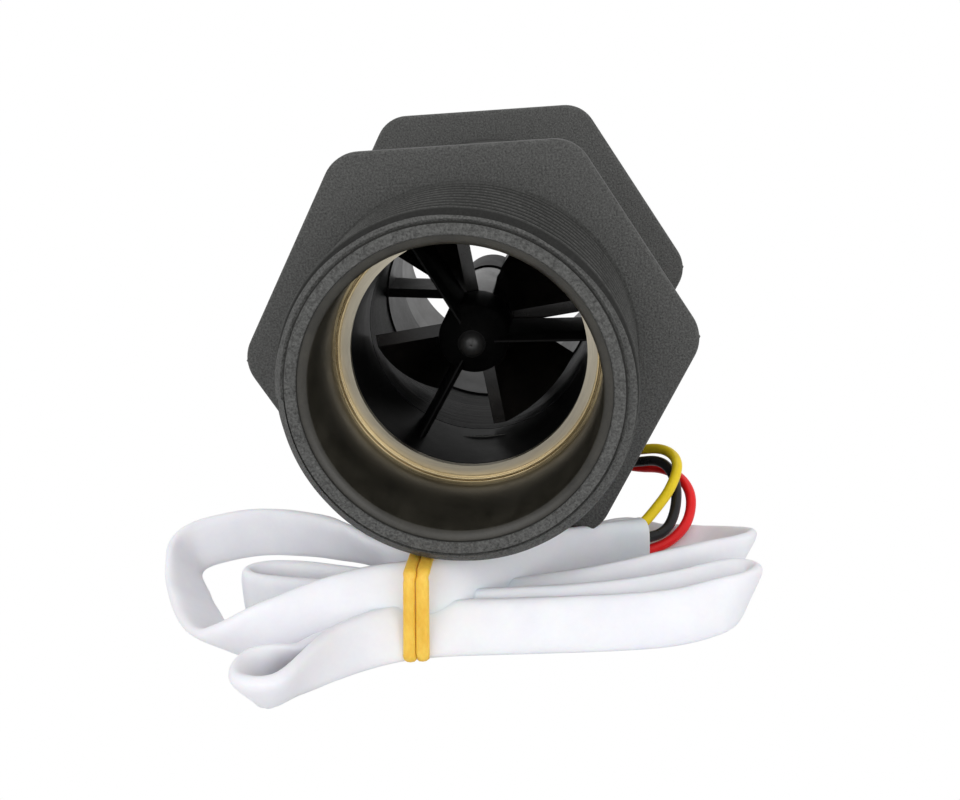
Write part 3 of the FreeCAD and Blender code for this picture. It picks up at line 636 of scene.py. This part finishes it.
def makeBody(look):
    turn = fullTurn(look["turns"])
    rim = look["thread"] - look["lead"]
    rings = lathe([(rim + out, look["inlet"] + deep) for out, deep in look["rimLine"]], turn)
    for along in outsidePlaces(look):
        rings.append(ringOf([threadRadius(look, a, along) for a in turn], along, turn))
    rings += lathe(insideOutline(look), turn)
    first, *others = look["finishes"]
    piece = makeObject("threadedBody", *bridge(rings), first, 40)
    for finish in others:
        piece.data.materials.append(surfaces[finish])
    for face in piece.data.polygons:
        reach = math.hypot(face.center.x, face.center.z) / mm
        face.material_index = look["finishes"].index(bodyFinish(look, reach, face.center.y / mm))
    finishPiece(piece, "meter", "charcoal_nylon", "body")


makeBody(bodyShape)


# Hexagons with rounded corners, drawn in towards the rear, with the mould's parting line on two corners
hexShape = {
    "places": {"inletHex": 0.0, "outletHex": 50.0}, "flats": 58.0, "corner": 5.5, "cornerDraw": 0.4,
    "width": 9.0, "bevel": 0.5, "land": 1.2, "taper": 2.1, "inner": 21.6,
    "ridge": 0.14, "ridgeWide": 0.35, "ridgeAt": (0.0, 180.0), "ridgeSteps": (0.15, 0.3, 0.45, 0.7)}


def hexRadius(look, angle, inset):
    # Distance to a rounded hexagon with corners at 0 and 180 degrees
    sixth = math.pi / 6
    flat = look["flats"] / 2 - inset
    corner = look["corner"] - look["cornerDraw"] * inset
    within = (angle + sixth) % (2 * sixth) - sixth
    straight = flat / math.cos(sixth - abs(within))
    reach = (flat - corner) / math.cos(sixth)
    touch = math.atan2(corner / 2, reach + corner * math.cos(sixth))
    if abs(within) > touch:
        return straight
    return reach * math.cos(within) + math.sqrt(corner ** 2 - (reach * math.sin(within)) ** 2)


def hexTurn(look):
    # Whole degrees, with finer ones beside the parting line
    offsets = [sign * step for step in look["ridgeSteps"] for sign in (-1, 1)]
    fine = [(side + offset) % 360 for side in look["ridgeAt"] for offset in offsets]
    return [math.radians(value) for value in sorted([*range(360), *fine])]


def makeHex(name, look):
    turn = hexTurn(look)
    near, bevel = look["places"][name], look["bevel"]
    far = near + look["width"]

    def ridge(angle):
        off = min(abs(math.degrees(angle) - side) for side in (*look["ridgeAt"], 360.0))
        return look["ridge"] * max(0.0, 1 - off / look["ridgeWide"])

    def ring(inset, along, proud):
        radii = [hexRadius(look, a, inset) + (ridge(a) if proud else 0) for a in turn]
        return ringOf(radii, along, turn)

    rings = lathe([(look["inner"], near)], turn)
    for step, slope in enumerate(arc(90, 0, 4)):
        rings.append(ring(bevel * (1 - math.cos(slope)), near + bevel * (1 - math.sin(slope)), step > 2))
    rings.append(ring(0, near + look["land"], True))
    for step, slope in enumerate(arc(0, 90, 4)):
        inset = look["taper"] + bevel * (1 - math.cos(slope))
        rings.append(ring(inset, far - bevel * (1 - math.sin(slope)), step < 2))
    rings += lathe([(look["inner"], far)], turn)
    piece = makeObject(name, *bridge(rings), "charcoalNylon", 50)
    finishPiece(piece, "meter", "charcoal_nylon")


for name in hexShape["places"]:
    makeHex(name, hexShape)


# Sensor box below the barrel, open underneath for its board
boxShape = {"wide": 34.0, "long": 36.0, "middle": 29.5, "corner": 2.5, "low": -33.0, "saddle": 22.0,
            "soften": 0.4, "cavityWide": 29.0, "cavityLong": 23.0, "cavityCorner": 1.0, "roof": -24.3}


def roundedBox(wide, length, corner, middle, heightOf):
    loop = []
    for side, end, start in ((1, 1, 0), (-1, 1, 90), (-1, -1, 180), (1, -1, 270)):
        for angle in arc(start, start + 90, 8):
            across = side * (wide / 2 - corner) + corner * math.cos(angle)
            along = middle + end * (length / 2 - corner) + corner * math.sin(angle)
            loop.append(Vector((across, along, heightOf(across))) * mm)
    return loop


def makeBox(look):
    low, soft = look["low"], look["soften"]

    def level(height):
        return lambda across: height

    def saddle(across):
        return -math.sqrt(look["saddle"] ** 2 - across ** 2)

    def inside(heightOf):
        wide, length = look["cavityWide"], look["cavityLong"]
        return roundedBox(wide, length, look["cavityCorner"], look["middle"], heightOf)

    def outside(inset, heightOf):
        wide, length = look["wide"] - 2 * inset, look["long"] - 2 * inset
        return roundedBox(wide, length, look["corner"] - inset, look["middle"], heightOf)

    rings = [inside(level(look["roof"])), inside(level(low)), outside(soft, level(low)),
             outside(0.3 * soft, level(low + 0.3 * soft)), outside(0, level(low + soft)), outside(0, saddle)]
    piece = makeObject("sensorBox", *bridge(rings, closed=False), "charcoalNylon", 40)
    finishPiece(piece, "meter", "charcoal_nylon")


makeBox(boxShape)


# Flat spiral ring of two turns in its groove, with a line round its face as steps of radius and depth
ringShape = {"outer": 19.95, "inner": 18.3, "near": -3.3, "far": -2.15, "round": 0.1, "turns": 240,
             "slit": 0.12, "slitDeep": 0.7,
             "line": ((0.60, 0.0), (0.50, 0.08), (0.46, 0.35), (0.36, 0.35), (0.32, 0.08), (0.24, 0.0))}


def makeRing(look):
    inner, near, far, soft = look["inner"], look["near"], look["far"], look["round"]
    bend = 0.3 * soft
    middle = (near + far) / 2
    low, high = middle - look["slit"] / 2, middle + look["slit"] / 2
    face = [(inner + out, near + deep) for out, deep in look["line"]]
    outline = [
        (look["outer"], near), *face,
        (inner + soft, near), (inner + bend, near + bend), (inner, near + soft),
        (inner, low - soft), (inner + bend, low - bend), (inner + soft, low),
        (inner + look["slitDeep"], middle),
        (inner + soft, high), (inner + bend, high + bend), (inner, high + soft),
        (inner, far - soft), (inner + bend, far - bend), (inner + soft, far),
        (look["outer"], far)]
    piece = makeObject("spiralRing", *bridge(lathe(outline, fullTurn(look["turns"]))), "goldSteel", 30)
    finishPiece(piece, "meter", "tan_steel", "snap_ring")


makeRing(ringShape)
print("body and ring ready")


# Inlet support: tube, domed hub and three vanes with rounded leading edges
supportShape = {
    "start": -1.0, "end": 15.9, "outer": 19.05, "inner": 16.9, "soft": 0.25, "turns": 96,
    "tip": 2.0, "dimple": (0.2, 0.10), "nose": 2.0, "dome": 1.6, "domeEnd": 1.3, "axis": 0.05,
    "cone": 6.5, "hub": 5.2, "hubEnd": 15.7, "hubEdge": (0.2, 0.3),
    "bushHole": 2.64, "bushFrom": 10.7, "pin": 1.54, "pinFrom": 9.7,
    "angles": (-2.0, 118.0, 238.0), "vaneFrom": 4.5, "vaneFull": 7.5, "vaneReach": (3.2, 17.1),
    "edge": 0.22, "edgeLong": 0.12, "half": 0.75}


def supportTube(look):
    start, end, outer, inner, soft = (look[key] for key in ("start", "end", "outer", "inner", "soft"))
    return [(outer - soft, start), (outer, start + soft), (outer, end - soft), (outer - soft, end),
            (inner + soft, end), (inner, end - soft), (inner, start + soft), (inner + soft, start)]


def supportHub(look):
    # From the dimple over the dome and the cone to the hub, and back in through the bush's hole
    tip, nose, hub, cone, axis = (look[key] for key in ("tip", "nose", "hub", "cone", "axis"))
    wide, deep = look["dimple"]
    edge, edgeLong = look["hubEdge"]
    dimple = [(axis, tip + deep), (0.6 * wide, tip + 0.7 * deep), (wide, tip + 0.02)]
    dome = [(nose * math.sin(slope), tip + look["dome"] * (1 - math.cos(slope))) for slope in arc(9, 74, 13)]
    return [
        *dimple, *dome, (nose + 0.05, tip + look["domeEnd"]), (hub - edge, cone), (hub, cone + edgeLong),
        (hub, look["hubEnd"]), (look["bushHole"], look["hubEnd"]), (look["bushHole"], look["bushFrom"]),
        (look["pin"], look["bushFrom"]), (look["pin"], look["pinFrom"]), (axis, look["pinFrom"])]


def supportVane(look, degrees):
    upper = [(look["vaneFrom"], 0.5 * look["edge"]), (look["vaneFrom"] + look["edgeLong"], look["edge"]),
             (look["vaneFull"], look["half"]), (look["hubEnd"], look["half"])]
    outline = upper + [(y, -side) for y, side in reversed(upper)]
    along = Vector((math.cos(math.radians(degrees)), 0, math.sin(math.radians(degrees))))
    across = Vector((-along.z, 0, along.x))
    return [[(along * reach + across * side + Vector((0, y, 0))) * mm for y, side in outline]
            for reach in look["vaneReach"]]


def makeSupport(look):
    turn = fullTurn(look["turns"])
    tube = bridge(lathe(supportTube(look), turn))
    hub = bridge(lathe(supportHub(look), turn), closed=False, capped=True)
    vanes = [bridge(supportVane(look, degrees), closed=False, capped=True) for degrees in look["angles"]]
    piece = makeObject("inletSupport", *joinShells([tube, hub, *vanes]), "glossBlack", 40)
    piece.data.materials.append(surfaces["noseBlack"])
    for face in piece.data.polygons:
        reach = math.hypot(face.center.x, face.center.z) / mm
        if face.center.y / mm < look["vaneFrom"] and reach < look["hub"]:
            face.material_index = 1
    finishPiece(piece, "meter", "black_plastic", "front_support")


makeSupport(supportShape)
print("inlet support ready")


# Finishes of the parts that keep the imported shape
finishes = {
    "retaining_washer": "tanSteel", "rear_support": "satinBlack", "measuring_sleeve": "linedBlack",
    "front_bush": "bushPlastic", "rear_bush": "bushPlastic", "thrust_washers": "ceramic",
    "rotor": "rotorBlack", "rotor_shaft": "steel", "rotor_magnets": "magnetNickel",
    "cover_gasket": "gasketRubber", "sensor_cover": "charcoalNylon", "cover_screws": "steel",
    "circuit_board": "boardGreen", "hall_chip": "chipBlack", "board_resistors": "chipBlack",
    "cable_grommet": "gasketRubber"}


def dressNodes():
    for name, finish in finishes.items():
        data = nodes[name].data
        data.materials.clear()
        data.materials.append(surfaces[finish])


dressNodes()
print("finishes ready")


# Floor, backdrop and lights: the floor's height in millimetres, the rest in metres and watts
stageLook = {
    "floor": -37.05, "reach": 1.5, "colour": (0.85, 0.85, 0.85), "rough": 0.9, "white": 1.0, "fill": 0.80,
    "lamps": {
        "key": {"place": (-0.30, -0.80, 0.50), "aim": (0, 0, 0), "size": 0.7, "power": 2.15},
        "side": {"place": (0.50, -0.75, 0.20), "aim": (0, 0, 0), "size": 0.6, "power": 1.8},
        "above": {"place": (0.0, 0.30, 0.90), "aim": (0, 0.03, 0), "size": 0.6, "power": 0.7}}}


def makeFloor(look):
    # White to the camera, and a pale surface to the light
    material, tree, links, shader = startMaterial("paleFloor")
    shader.inputs["Base Color"].default_value = (*look["colour"], 1)
    shader.inputs["Roughness"].default_value = look["rough"]
    glow = tree.new("ShaderNodeEmission")
    glow.inputs["Color"].default_value = (1, 1, 1, 1)
    glow.inputs["Strength"].default_value = look["white"]
    seen = tree.new("ShaderNodeLightPath")
    both = tree.new("ShaderNodeMixShader")
    links.new(seen.outputs["Is Camera Ray"], both.inputs["Fac"])
    links.new(shader.outputs["BSDF"], both.inputs[1])
    links.new(glow.outputs["Emission"], both.inputs[2])
    links.new(both.outputs["Shader"], tree["Material Output"].inputs["Surface"])
    reach, height = look["reach"], look["floor"] * mm
    data = bpy.data.meshes.new("floor")
    data.from_pydata([(-reach, -reach, height), (reach, -reach, height), (reach, reach, height),
                      (-reach, reach, height)], [], [(0, 1, 2, 3)])
    data.materials.append(material)
    floor = bpy.data.objects.new("floor", data)
    scene.collection.objects.link(floor)


def makeWorld(look):
    world = bpy.data.worlds.new("studio")
    scene.world = world
    world.use_nodes = True
    tree, links = world.node_tree.nodes, world.node_tree.links
    fill = tree["Background"]
    fill.inputs["Color"].default_value = (1, 1, 1, 1)
    fill.inputs["Strength"].default_value = look["fill"]
    white = tree.new("ShaderNodeBackground")
    white.inputs["Color"].default_value = (1, 1, 1, 1)
    white.inputs["Strength"].default_value = look["white"]
    seen = tree.new("ShaderNodeLightPath")
    both = tree.new("ShaderNodeMixShader")
    links.new(seen.outputs["Is Camera Ray"], both.inputs["Fac"])
    links.new(fill.outputs["Background"], both.inputs[1])
    links.new(white.outputs["Background"], both.inputs[2])
    links.new(both.outputs["Shader"], tree["World Output"].inputs["Surface"])


def makeLamps(look):
    for name, lamp in look["lamps"].items():
        data = bpy.data.lights.new(name, "AREA")
        data.shape = "SQUARE"
        data.size = lamp["size"]
        data.energy = lamp["power"]
        lampPiece = bpy.data.objects.new(name, data)
        scene.collection.objects.link(lampPiece)
        spot = Vector(lamp["place"])
        facing = (Vector(lamp["aim"]) - spot).to_track_quat("-Z", "Y")
        lampPiece.matrix_world = Matrix.Translation(spot) @ facing.to_matrix().to_4x4()


makeFloor(stageLook)
makeWorld(stageLook)
makeLamps(stageLook)
scene.view_settings.view_transform = "Standard"
print("stage ready")
